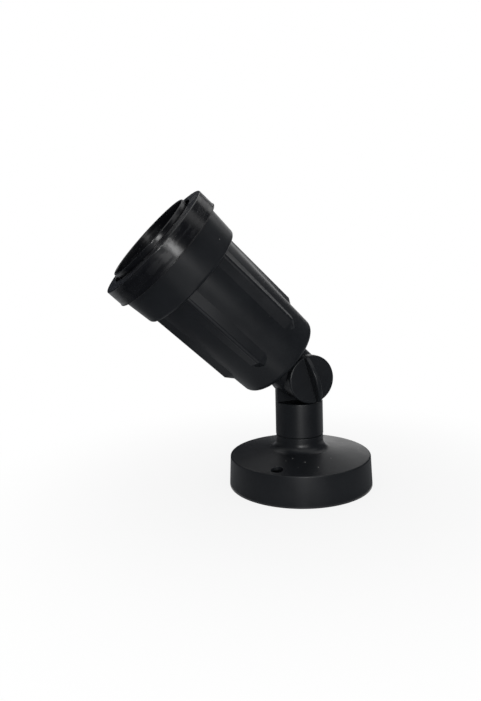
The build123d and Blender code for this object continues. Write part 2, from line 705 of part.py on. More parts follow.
NODES = {
    "base_canopy": base_canopy,
    "base_seal": base_seal,
    "terminal_block": terminal_block,
    "terminal_sleeves": terminal_sleeves,
    "terminal_screws": terminal_screws,
    "block_screw": block_screw,
    "lower_stem": lower_stem,
    "swivel_o_ring": swivel_o_ring,
    "swivel_washer": swivel_washer,
    "swivel_nut": swivel_nut,
    "clamp_nut": clamp_nut,
    "hinge_bush": hinge_bush,
    "hinge_seal": hinge_seal,
    "knuckle_arm": knuckle_arm,
    "arm_seal": arm_seal,
    "arm_lock_nut": arm_lock_nut,
    "head_body": head_body,
    "front_collar": front_collar,
    "front_ring": front_ring,
    "holder_strap": holder_strap,
    "strap_screws": strap_screws,
    "lampholder": lampholder,
    "holder_screws": holder_screws,
    "holder_shell": holder_shell,
    "holder_contact": holder_contact,
    "lamp_leads": lamp_leads,
    "lamp_reflector": lamp_reflector,
    "lamp_lens": lamp_lens,
    "lamp_capsule": lamp_capsule,
    "lamp_cap": lamp_cap,
    "lamp_insulator": lamp_insulator,
    "lamp_tip": lamp_tip,
    "clamp_knob": clamp_knob,
    "knob_stud": knob_stud,
    "knob_washer": knob_washer,
}

os.makedirs("parts", exist_ok=True)
for name, make in NODES.items():
    export_step(make(), f"parts/{name}.step")
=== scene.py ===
import json
import math

import bmesh
import bpy
from bpy.props import FloatProperty, FloatVectorProperty, IntProperty, PointerProperty
from mathutils import Matrix, Vector


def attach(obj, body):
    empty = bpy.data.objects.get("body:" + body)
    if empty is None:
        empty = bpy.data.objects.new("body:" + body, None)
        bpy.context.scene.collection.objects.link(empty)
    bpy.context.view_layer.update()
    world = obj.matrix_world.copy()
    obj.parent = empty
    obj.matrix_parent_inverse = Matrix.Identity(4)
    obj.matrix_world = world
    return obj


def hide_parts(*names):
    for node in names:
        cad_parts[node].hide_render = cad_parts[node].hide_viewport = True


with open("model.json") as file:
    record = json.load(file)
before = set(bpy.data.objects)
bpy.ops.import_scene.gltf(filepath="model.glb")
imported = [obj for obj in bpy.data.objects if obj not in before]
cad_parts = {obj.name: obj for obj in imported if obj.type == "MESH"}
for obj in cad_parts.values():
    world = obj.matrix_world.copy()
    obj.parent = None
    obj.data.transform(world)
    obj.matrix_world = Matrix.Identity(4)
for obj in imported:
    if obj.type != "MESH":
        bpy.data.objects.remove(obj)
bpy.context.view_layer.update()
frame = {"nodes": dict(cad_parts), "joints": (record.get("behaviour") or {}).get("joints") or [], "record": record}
JOINTS = {joint["name"]: joint for joint in frame["joints"]}
BODIES = frame["record"]["behaviour"]["bodies"]
SLOTS = {part["node"]: part["material_slot"] for part in frame["record"]["subparts"]}

bl_info = {
    "name": "Landscape spotlight",
    "version": (1, 0, 0),
    "blender": (4, 5, 0),
    "location": "View3D > Sidebar > Spotlight",
    "description": "Dresses the packed garden spotlight and sets up its studio",
    "category": "Object",
}

MM = 0.001
WHITE = (1, 1, 1, 1)

# Head frame: its Z runs along the head from the hinge, its X is the head's upper side
HEAD_RISE = 43.4
HEAD_TILT = math.radians(HEAD_RISE - 90)
HEAD = Matrix.Translation(JOINTS["head_tilt"]["pos_m"]) @ Matrix.Rotation(HEAD_TILT, 4, "Y")

# New pieces: corners nearer than this are one, and edges sharper than this stay sharp
MERGE = 0.002 * MM
SHARP = math.radians(40)

# Camera of the photograph, in metres in the row frame; its lens was fitted in pixels
CAMERA_PLACE = Vector((-0.1761, -0.3566, 0.1473))
CAMERA_RIGHT = Vector((0.93425, -0.35515, -0.0320))
CAMERA_UP = Vector((0.07661, 0.11227, 0.99071))
CAMERA_SENSOR = 36.0
FOCAL_PIXELS = 579.63
PHOTO_HEIGHT = 701
CAMERA_LENS = FOCAL_PIXELS * CAMERA_SENSOR / PHOTO_HEIGHT


def linear(code):
    """Linear colour from an sRGB hex code."""
    parts = [int(code[start:start + 2], 16) / 255 for start in (0, 2, 4)]
    return [part / 12.92 if part <= 0.04045 else ((part + 0.055) / 1.055) ** 2.4
            for part in parts]


def shade(colour, factor=1.0):
    """Colour socket value: a linear colour made lighter or darker."""
    return (*[min(part * factor, 1.0) for part in colour], 1.0)


def per_mm(size):
    """Texture scale that gives a pattern of this size in millimetres on Object coordinates."""
    return 1000 / size


# Settings


def colour_setting(name, description, code):
    return FloatVectorProperty(
        name=name, description=description, subtype="COLOR", size=3, min=0, max=1,
        default=linear(code))


def share_setting(name, description, default):
    return FloatProperty(
        name=name, description=description, subtype="FACTOR", min=0, max=1, default=default)


def length_setting(name, description, default, low, high):
    return FloatProperty(
        name=name, description=description, subtype="DISTANCE", unit="LENGTH", precision=5,
        default=default * MM, min=low * MM, max=high * MM)


class SpotlightLooks(bpy.types.PropertyGroup):
    """Colours and finishes of the light."""

    plastic: colour_setting(
        "Moulded plastic", "Colour of the base, stem, head and knob", "15171a")
    plastic_roughness: share_setting(
        "Plastic roughness", "Micro roughness of the satin mouldings", 0.34)
    # Lighter colour of the mouldings' edges: wear by handling and also a painted edge highlight
    edge_wear_and_highlight: colour_setting(
        "Rubbed edges", "Colour of the plastic where handling has polished its edges", "3a3d42")
    grain: length_setting(
        "Mould grain", "Size of the grain on the mouldings", 0.45, 0.1, 2.0)
    dust: colour_setting(
        "Dust", "Colour of the dust specks", "b4b4b2")
    ring: colour_setting(
        "Front ring", "Colour of the glossy front ring", "0c0d10")
    ring_roughness: share_setting(
        "Ring roughness", "Micro roughness of the front ring where it is clean", 0.2)
    seal: colour_setting(
        "Seals", "Colour of the seals and O-rings", "26262a")
    nylon: colour_setting(
        "Terminal block", "Colour of the natural nylon block", "dedbd0")
    phenolic: colour_setting(
        "Lampholder", "Colour of the phenolic lampholder and the lamp's insulator", "2b2622")
    sleeve: colour_setting(
        "Lead sleeves", "Colour of the silicone-sleeved leads", "cbc5b8")
    brass: colour_setting(
        "Brass", "Colour of the contacts, shells and bush", "d8b269")
    zinc: colour_setting(
        "Zinc plate", "Colour of the plated screws, nuts, washers and strap", "c3c7cb")
    mirror: colour_setting(
        "Reflector", "Colour of the lamp's aluminised reflector", "e9ebec")
    glass: colour_setting(
        "Glass", "Colour of the lamp's glass", "f2f7f5")


class SpotlightSizes(bpy.types.PropertyGroup):
    """Sizes of the pieces that are modelled here."""

    parting_width: length_setting(
        "Parting line width", "Width of the flash along the stem's parting line", 0.5, 0.1, 2.0)
    parting_height: length_setting(
        "Parting line height", "Height of the flash along the stem's parting line",
        0.14, 0.02, 1.0)
    parting_offset: length_setting(
        "Parting line offset", "Distance of the mould's parting plane from the hinge's middle",
        2.7, 0.0, 10.0)
    bead: length_setting(
        "Ring bead", "Radius of the flash bead round the rear edge of the front ring",
        0.3, 0.1, 1.0)
    lens_bumps: IntProperty(
        name="Lens bumps",
        description="Rows of pressed bumps from the middle of the lens to its edge",
        min=3, max=16, default=8)
    lens_bump_height: length_setting(
        "Lens bump height", "Height of the pressed bumps on the lens", 0.3, 0.0, 1.0)


# Shader building blocks


def add_node(tree, kind, links=None, inputs=None, **settings):
    """Adds a shader node with its settings, its plain input values and its links."""
    node = tree.nodes.new(kind)
    for name, value in settings.items():
        setattr(node, name, value)
    for name, value in (inputs or {}).items():
        node.inputs[name].default_value = value
    for name, output in (links or {}).items():
        tree.links.new(output, node.inputs[name])
    return node


def new_material(name):
    """Empty node material with its tree and its Object coordinates."""
    material = bpy.data.materials.new(name)
    material.use_nodes = True
    tree = material.node_tree
    tree.nodes.clear()
    return material, tree, add_node(tree, "ShaderNodeTexCoord").outputs["Object"]


def surface(tree, kind, links, inputs=None):
    """Adds the shader that is a material's surface."""
    shader = add_node(tree, kind, links, inputs)
    add_node(tree, "ShaderNodeOutputMaterial", {"Surface": shader.outputs[0]})


def noise(tree, where, size, detail=2.0, roughness=0.5, distortion=0.0):
    """Noise of this size in millimetres, as a value."""
    node = add_node(
        tree, "ShaderNodeTexNoise", {"Vector": where},
        {"Scale": per_mm(size), "Detail": detail, "Roughness": roughness,
         "Distortion": distortion})
    return node.outputs["Fac"]


def maths(tree, operation, first, second):
    """Two values combined to one."""
    node = add_node(tree, "ShaderNodeMath", {0: first, 1: second}, operation=operation)
    return node.outputs["Value"]


def ramp(tree, value, low, high, start=0.0, end=1.0):
    """Value that runs from low to high while another one runs from start to end."""
    node = add_node(
        tree, "ShaderNodeMapRange", {"Value": value},
        {"From Min": start, "From Max": end, "To Min": low, "To Max": high})
    return node.outputs["Result"]


def mottled(tree, value, colour, low, high):
    """Linear colour that a value makes darker or lighter, from one factor to another."""
    node = add_node(
        tree, "ShaderNodeMix", {"Factor": value},
        {"A": shade(colour, low), "B": shade(colour, high)}, data_type="RGBA")
    return node.outputs["Result"]


def overlaid(tree, share, under, colour):
    """Colour output with a linear colour laid over a share of it."""
    node = add_node(
        tree, "ShaderNodeMix", {"Factor": share, "A": under}, {"B": shade(colour)},
        data_type="RGBA")
    return node.outputs["Result"]


def relief(tree, height, strength, depth, normal=None):
    """Normal of a fine relief of this depth in millimetres."""
    links = {"Height": height, "Normal": normal} if normal else {"Height": height}
    node = add_node(
        tree, "ShaderNodeBump", links, {"Strength": strength, "Distance": depth * MM})
    return node.outputs["Normal"]


def dusted(tree, where, colour, dust, spacing, upward):
    """Colour output with rare light specks, larger ones where the surface looks up."""
    cells = add_node(
        tree, "ShaderNodeTexVoronoi", {"Vector": where},
        {"Scale": per_mm(spacing), "Randomness": 1.0}, feature="F1")
    chance = add_node(tree, "ShaderNodeSeparateColor", {"Color": cells.outputs["Color"]})
    own = add_node(tree, "ShaderNodeTexCoord")
    facing = add_node(tree, "ShaderNodeSeparateXYZ", {"Vector": own.outputs["Normal"]})
    limit = ramp(tree, facing.outputs["Z"], 0.0, upward, start=-0.2, end=0.9)
    size = maths(tree, "MULTIPLY", chance.outputs["Red"], limit)
    speck = maths(tree, "LESS_THAN", cells.outputs["Distance"], size)
    return overlaid(tree, speck, colour, dust)


# Materials, one for each slot of the record


def moulded_abs(looks):
    """ABS from a spark-eroded tool: satin blue-black, finely grained, its edges lighter for wear by use and as a
    painted edge highlight.
    """
    material, tree, where = new_material("moulded_abs_spark_eroded")
    # A real spark-eroded grain is about 0.1 mm, drawn coarser so that it shows
    grain = noise(tree, where, looks.grain / MM, detail=2.0, roughness=0.6)
    clouds = noise(tree, where, 18.0, detail=4.0, roughness=0.6)
    tone = mottled(tree, clouds, looks.plastic, 0.7, 1.3)
    # Within a quarter of a millimetre of an edge the bevelled normal parts from the own one; there the colour is
    # made lighter, partly wear and partly a painted edge highlight
    soft = add_node(tree, "ShaderNodeBevel", inputs={"Radius": 0.25 * MM}, samples=6)
    own = add_node(tree, "ShaderNodeNewGeometry")
    match = add_node(
        tree, "ShaderNodeVectorMath", {0: soft.outputs["Normal"], 1: own.outputs["Normal"]},
        operation="DOT_PRODUCT")
    edge = ramp(tree, match.outputs["Value"], 0.0, 1.0, start=0.995, end=0.9)
    # Edges lightened: partly wear, partly a painted edge highlight
    worn_and_highlit = overlaid(tree, maths(tree, "MULTIPLY", edge, clouds), tone, looks.edge_wear_and_highlight)
    rough = looks.plastic_roughness
    surface(
        tree, "ShaderNodeBsdfPrincipled",
        {"Base Color": dusted(tree, where, worn_and_highlit, looks.dust, spacing=5.0, upward=0.075),
         "Roughness": ramp(tree, clouds, rough - 0.03, rough + 0.05, start=0.3, end=0.7),
         "Normal": relief(tree, grain, 0.25, 0.05, soft.outputs["Normal"])},
        {"IOR": 1.46, "Specular IOR Level": 0.32})
    return material


def polished_silicone(looks):
    """Silicone from a polished tool: nearly black and glossy, dulled by smudges and wipes."""
    material, tree, where = new_material("silicone_rubber_polished")
    smudges = noise(tree, where, 9.0, detail=3.0, roughness=0.5, distortion=0.7)
    # Wipes run round the ring, so they are stretched across the head's axis
    turned = add_node(
        tree, "ShaderNodeMapping", {"Vector": where},
        {"Rotation": (0.0, HEAD_TILT, 0.0), "Scale": (4.0, 4.0, 0.4)}, vector_type="TEXTURE")
    wipes = noise(tree, turned.outputs["Vector"], 6.0, detail=1.0, roughness=0.5)
    marks = maths(tree, "MULTIPLY", smudges, wipes)
    film = mottled(tree, marks, looks.ring, 0.6, 2.2)
    rough = looks.ring_roughness
    surface(
        tree, "ShaderNodeBsdfPrincipled",
        {"Base Color": dusted(tree, where, film, looks.dust, spacing=4.0, upward=0.09),
         "Roughness": ramp(tree, marks, rough, rough + 0.12, start=0.2, end=0.36),
         "Normal": relief(tree, smudges, 0.03, 0.05)},
        {"IOR": 1.41, "Specular IOR Level": 0.6})
    return material


def seal_rubber(looks):
    """Moulded EPDM rubber: dead matt dark grey with a pale bloom in patches."""
    material, tree, where = new_material("epdm_rubber_moulded")
    bloom = noise(tree, where, 5.0, detail=5.0, roughness=0.7)
    pores = noise(tree, where, 0.3)
    surface(
        tree, "ShaderNodeBsdfPrincipled",
        {"Base Color": mottled(tree, bloom, looks.seal, 0.7, 1.5),
         "Normal": relief(tree, pores, 0.3, 0.05)},
        {"Roughness": 0.72, "IOR": 1.5, "Specular IOR Level": 0.35})
    return material


def natural_nylon(looks):
    """Natural moulded nylon: milky cream, slightly translucent, with faint flow clouds."""
    material, tree, where = new_material("nylon_natural_moulded")
    flow = noise(tree, where, 9.0, detail=4.0, distortion=1.2)
    surface(
        tree, "ShaderNodeBsdfPrincipled",
        {"Base Color": mottled(tree, flow, looks.nylon, 0.86, 1.05),
         "Roughness": ramp(tree, flow, 0.38, 0.52)},
        {"IOR": 1.53, "Subsurface Weight": 0.25, "Subsurface Radius": (1.0, 0.9, 0.75),
         "Subsurface Scale": MM})
    return material


def moulded_phenolic(looks):
    """Compression-moulded phenolic: brown-black and fairly glossy with filler mottling."""
    material, tree, where = new_material("phenolic_moulded")
    filler = noise(tree, where, 0.8, detail=4.0, roughness=0.75)
    surface(
        tree, "ShaderNodeBsdfPrincipled",
        {"Base Color": mottled(tree, filler, looks.phenolic, 0.6, 1.5),
         "Roughness": ramp(tree, filler, 0.2, 0.36)},
        {"IOR": 1.6})
    return material


def silicone_sleeve(looks):
    """Glass-braid silicone sleeving: off-white, soft sheen, a fine braid."""
    material, tree, where = new_material("silicone_glass_sleeving")
    # The real braid is about 0.3 mm, drawn at half a millimetre so that it shows
    braid = add_node(
        tree, "ShaderNodeTexWave", {"Vector": where},
        {"Scale": per_mm(0.5) / math.tau, "Distortion": 1.5, "Detail": 1.0},
        bands_direction="DIAGONAL").outputs["Fac"]
    surface(
        tree, "ShaderNodeBsdfPrincipled",
        {"Base Color": mottled(tree, braid, looks.sleeve, 0.75, 1.05),
         "Normal": relief(tree, braid, 0.4, 0.1)},
        {"Roughness": 0.55, "IOR": 1.41, "Sheen Weight": 0.2})
    return material


def pressed_brass(looks):
    """Pressed brass: yellow metal with drawing lines and a brown tarnish in patches."""
    material, tree, where = new_material("brass_pressed")
    drawn = add_node(tree, "ShaderNodeMapping", {"Vector": where}, {"Scale": (1.0, 1.0, 0.08)})
    lines = noise(tree, drawn.outputs["Vector"], 0.25, detail=3.0)
    tarnish = noise(tree, where, 4.0, detail=5.0, roughness=0.7)
    surface(
        tree, "ShaderNodeBsdfPrincipled",
        {"Base Color": mottled(tree, tarnish, looks.brass, 0.55, 1.1),
         "Roughness": ramp(tree, lines, 0.2, 0.4),
         "Normal": relief(tree, lines, 0.1, 0.03)},
        {"Metallic": 1.0})
    return material


def zinc_plate(looks):
    """Bright zinc plate on steel: cool grey metal, faintly iridescent, with fine scratches."""
    material, tree, where = new_material("zinc_plated_steel")
    passivate = noise(tree, where, 6.0, detail=3.0, distortion=0.8)
    drawn = add_node(tree, "ShaderNodeMapping", {"Vector": where}, {"Scale": (0.12, 1.0, 1.0)})
    scratches = noise(tree, drawn.outputs["Vector"], 0.3, detail=4.0)
    warm, cool = linear("c8c2ae"), linear("aebccb")
    tint = add_node(
        tree, "ShaderNodeMix", {"Factor": passivate}, {"A": shade(warm), "B": shade(cool)},
        data_type="RGBA")
    tone = add_node(
        tree, "ShaderNodeMix", {"A": tint.outputs["Result"]},
        {"Factor": 0.6, "B": shade(looks.zinc)}, data_type="RGBA")
    surface(
        tree, "ShaderNodeBsdfPrincipled",
        {"Base Color": tone.outputs["Result"],
         "Roughness": ramp(tree, scratches, 0.18, 0.42),
         "Normal": relief(tree, scratches, 0.08, 0.03)},
        {"Metallic": 1.0})
    return material


def aluminised_mirror(looks):
    """Vacuum-aluminised glass reflector: a bright mirror with the glass's slight waviness."""
    material, tree, where = new_material("aluminised_reflector")
    waves = noise(tree, where, 5.0)
    surface(
        tree, "ShaderNodeBsdfPrincipled",
        {"Base Color": mottled(tree, waves, looks.mirror, 0.9, 1.05),
         "Roughness": ramp(tree, waves, 0.04, 0.12),
         "Normal": relief(tree, waves, 0.2, 0.1)},
        {"Metallic": 1.0})
    return material


def pressed_glass(looks):
    """Pressed borosilicate glass: clear, with a faint grey-green cast and a wavy skin."""
    material, tree, where = new_material("borosilicate_glass_pressed")
    skin = noise(tree, where, 2.5)
    surface(
        tree, "ShaderNodeBsdfPrincipled",
        {"Roughness": ramp(tree, skin, 0.01, 0.06), "Normal": relief(tree, skin, 0.05, 0.05)},
        {"Base Color": shade(looks.glass), "IOR": 1.47, "Transmission Weight": 1.0})
    return material


FINISHES = {
    "moulded_black": moulded_abs,
    "ring_rubber": polished_silicone,
    "seal_rubber": seal_rubber,
    "terminal_nylon": natural_nylon,
    "holder_plastic": moulded_phenolic,
    "lead_sleeve": silicone_sleeve,
    "brass_contact": pressed_brass,
    "zinc_steel": zinc_plate,
    "lamp_mirror": aluminised_mirror,
    "lamp_glass": pressed_glass,
}
MADE = {}


def finish(slot, looks):
    """The material of a slot of the record, made the first time that a piece asks for it."""
    if slot not in MADE:
        MADE[slot] = FINISHES[slot](looks)
    return MADE[slot]


def dress(names, looks):
    """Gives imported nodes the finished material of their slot."""
    for name in names:
        mesh = frame["nodes"][name].data
        mesh.materials.clear()
        mesh.materials.append(finish(SLOTS[name], looks))


# Shapes


def revolve(shape, steps, angle=math.tau):
    """Turns an outline round the Z axis, closed where it comes round."""
    bmesh.ops.spin(
        shape, geom=[*shape.verts, *shape.edges], cent=(0, 0, 0), axis=(0, 0, 1), angle=angle,
        steps=steps, use_merge=angle == math.tau)


def add_piece(name, shape, body, slot, looks, replaces=()):
    """Makes a shape a closed, smooth piece that rides a body and takes a slot's material."""
    bmesh.ops.remove_doubles(shape, verts=shape.verts, dist=MERGE)
    bmesh.ops.recalc_face_normals(shape, faces=shape.faces)
    mesh = bpy.data.meshes.new(name)
    shape.to_mesh(mesh)
    shape.free()
    mesh.shade_smooth()
    mesh.set_sharp_from_angle(angle=SHARP)
    mesh.materials.append(finish(slot, looks))
    piece = bpy.data.objects.new(name, mesh)
    bpy.context.scene.collection.objects.link(piece)
    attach(piece, body)
    if replaces:
        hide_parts(*replaces)


# Pieces


class SPOTLIGHT_OT_base(bpy.types.Operator):
    """Finishes the base canopy, its seal and the terminal block under its roof"""

    bl_idname = "spotlight.base"
    bl_label = "Base"

    def execute(self, context):
        dress(BODIES["base"], context.scene.spotlight_looks)
        return {"FINISHED"}


class SPOTLIGHT_OT_stem(bpy.types.Operator):
    """Finishes the swivelling stem and lays the flash of its parting line down both sides"""

    bl_idname = "spotlight.stem"
    bl_label = "Stem"

    # Stem outside, in millimetres: radius and height at its foot and under its ledge
    FOOT = (16.5, 35.8)
    LEDGE = (16.385, 58.0)
    # How deep the flash is rooted in the stem
    ROOT = 0.05

    def execute(self, context):
        looks, sizes = context.scene.spotlight_looks, context.scene.spotlight_sizes
        dress(BODIES["stem"], looks)
        self.parting_line(looks, sizes)
        return {"FINISHED"}

    def parting_line(self, looks, sizes):
        """A low three-cornered ridge down each side of the stem, in the parting plane."""
        shape = bmesh.new()
        half = sizes.parting_width / 2
        for radius, height in (self.FOOT, self.LEDGE):
            lean = math.asin(sizes.parting_offset / (radius * MM))
            root = radius * MM - self.ROOT * MM
            crest = radius * MM + sizes.parting_height
            for side in (-1, 1):
                turn = Matrix.Rotation(side * (math.pi / 2 - lean) - math.pi / 2, 4, "Z")
                for out, across in ((root, -half), (crest, 0.0), (root, half)):
                    shape.verts.new(turn @ Vector((out, across, height * MM)))
        shape.verts.ensure_lookup_table()
        for first in (0, 3):
            ends = [list(shape.verts[start:start + 3]) for start in (first, first + 6)]
            edges = [shape.edges.new((end[k], end[(k + 1) % 3])) for end in ends for k in range(3)]
            bmesh.ops.bridge_loops(shape, edges=edges)
            for end in ends:
                bmesh.ops.contextual_create(shape, geom=end)
        add_piece("stem_parting_line", shape, "stem", "moulded_black", looks)


class SPOTLIGHT_OT_knob(bpy.types.Operator):
    """Finishes the clamp knob with its stud and washer"""

    bl_idname = "spotlight.knob"
    bl_label = "Clamp knob"

    def execute(self, context):
        dress(BODIES["knob"], context.scene.spotlight_looks)
        return {"FINISHED"}


class SPOTLIGHT_OT_head(bpy.types.Operator):
    """Finishes the knuckle arm, the ribbed body, the collar and the ring with its flash bead"""

    bl_idname = "spotlight.head"
    bl_label = "Head"

    NODES = (
        "knuckle_arm", "arm_seal", "arm_lock_nut", "head_body", "front_collar", "front_ring")
    # Middle of the bead in the head frame, in millimetres: radius and distance along the head
    BEAD = (41.95, 122.75)
    BEAD_CORNERS = 10
    BEAD_STEPS = 360
    # Its unevenness: waves round the ring with their phases, and their height
    SWAY = ((23, 0), (57, 1), (101, 2))
    SWAY_HEIGHT = 0.0004

    def execute(self, context):
        looks, sizes = context.scene.spotlight_looks, context.scene.spotlight_sizes
        dress(self.NODES, looks)
        self.flash_bead(looks, sizes)
        return {"FINISHED"}

    def flash_bead(self, looks, sizes):
        """Uneven bead of moulding flash round the rear edge of the ring's flange."""
        radius, along = self.BEAD
        place = Matrix.Translation((radius * MM, 0, along * MM))
        shape = bmesh.new()
        bmesh.ops.create_circle(
            shape, segments=self.BEAD_CORNERS, radius=sizes.bead,
            matrix=place @ Matrix.Rotation(math.pi / 2, 4, "X"))
        revolve(shape, self.BEAD_STEPS)
        for vert in shape.verts:
            angle = math.atan2(vert.co.y, vert.co.x)
            sway = sum(math.sin(waves * angle + phase) for waves, phase in self.SWAY)
            vert.co *= 1 + self.SWAY_HEIGHT * sway * sizes.bead / MM
        bmesh.ops.transform(shape, matrix=HEAD, verts=shape.verts)
        add_piece("ring_flash_bead", shape, "head", "ring_rubber", looks)


class SPOTLIGHT_OT_lamp(bpy.types.Operator):
    """Finishes the reflector lamp and presses the bumps into its lens"""

    bl_idname = "spotlight.lamp"
    bl_label = "Lamp"

    NODES = ("lamp_reflector", "lamp_capsule", "lamp_cap", "lamp_insulator", "lamp_tip")
    # Lens in the head frame, in millimetres
    FACE = 119.9
    BACK = 116.9
    CROWN = 2.4
    DOME_R = 28.2
    RIM_R = 31.8
    # The bumps keep this far from the dome's edge and above the rim's face
    EDGE_MARGIN = 0.2
    FACE_MARGIN = 0.01
    BUMP_STEPS = 8

    def execute(self, context):
        looks, sizes = context.scene.spotlight_looks, context.scene.spotlight_sizes
        dress(self.NODES, looks)
        self.lens(looks, sizes)
        return {"FINISHED"}

    def lens(self, looks, sizes):
        """Domed lens, turned from its outline, with rows of soft pressed bumps."""
        curve = (self.DOME_R**2 + self.CROWN**2) / (2 * self.CROWN)
        centre = Vector((0, 0, self.FACE + self.CROWN - curve)) * MM
        shape = bmesh.new()
        top = shape.verts.new((0, 0, (self.FACE + self.CROWN) * MM))
        bmesh.ops.spin(
            shape, geom=[top], cent=centre, axis=(0, 1, 0),
            angle=math.asin(self.DOME_R / curve), steps=sizes.lens_bumps * self.BUMP_STEPS)
        last = max(shape.verts, key=lambda vert: vert.co.x)
        for radius, along in (
                (self.RIM_R, self.FACE), (self.RIM_R, self.BACK), (0.0, self.BACK)):
            following = shape.verts.new((radius * MM, 0, along * MM))
            shape.edges.new((last, following))
            last = following
        revolve(shape, round(math.tau * sizes.lens_bumps) * self.BUMP_STEPS)
        bmesh.ops.remove_doubles(shape, verts=shape.verts, dist=MERGE)
        self.press_bumps(shape, sizes)
        bmesh.ops.transform(shape, matrix=HEAD, verts=shape.verts)
        add_piece("pressed_lens", shape, "head", "lamp_glass", looks, ("lamp_lens",))

    def press_bumps(self, shape, sizes):
        """Raises the dome in rings of bumps, each about as wide as its row."""
        pitch = self.DOME_R * MM / sizes.lens_bumps
        lowest = self.FACE * MM + self.FACE_MARGIN * MM
        widest = self.DOME_R * MM - self.EDGE_MARGIN * MM
        for vert in shape.verts:
            out = math.hypot(vert.co.x, vert.co.y)
            if vert.co.z > lowest and out < widest:
                row = math.floor(out / pitch)
                count = max(1, round(math.tau * (row + 0.5)))
                turn = math.atan2(vert.co.y, vert.co.x) * count / math.tau
                swell = math.sin(math.pi * (out / pitch - row)) * abs(math.sin(math.pi * turn))
                vert.co.z += sizes.lens_bump_height * swell**0.5


class SPOTLIGHT_OT_holder(bpy.types.Operator):
    """Finishes the lampholder, its strap, screws and contacts and the leads"""

    bl_idname = "spotlight.holder"
    bl_label = "Lampholder"

    NODES = (
        "holder_strap", "strap_screws", "lampholder", "holder_screws", "holder_shell",
        "holder_contact", "lamp_leads")

    def execute(self, context):
        dress(self.NODES, context.scene.spotlight_looks)
        return {"FINISHED"}


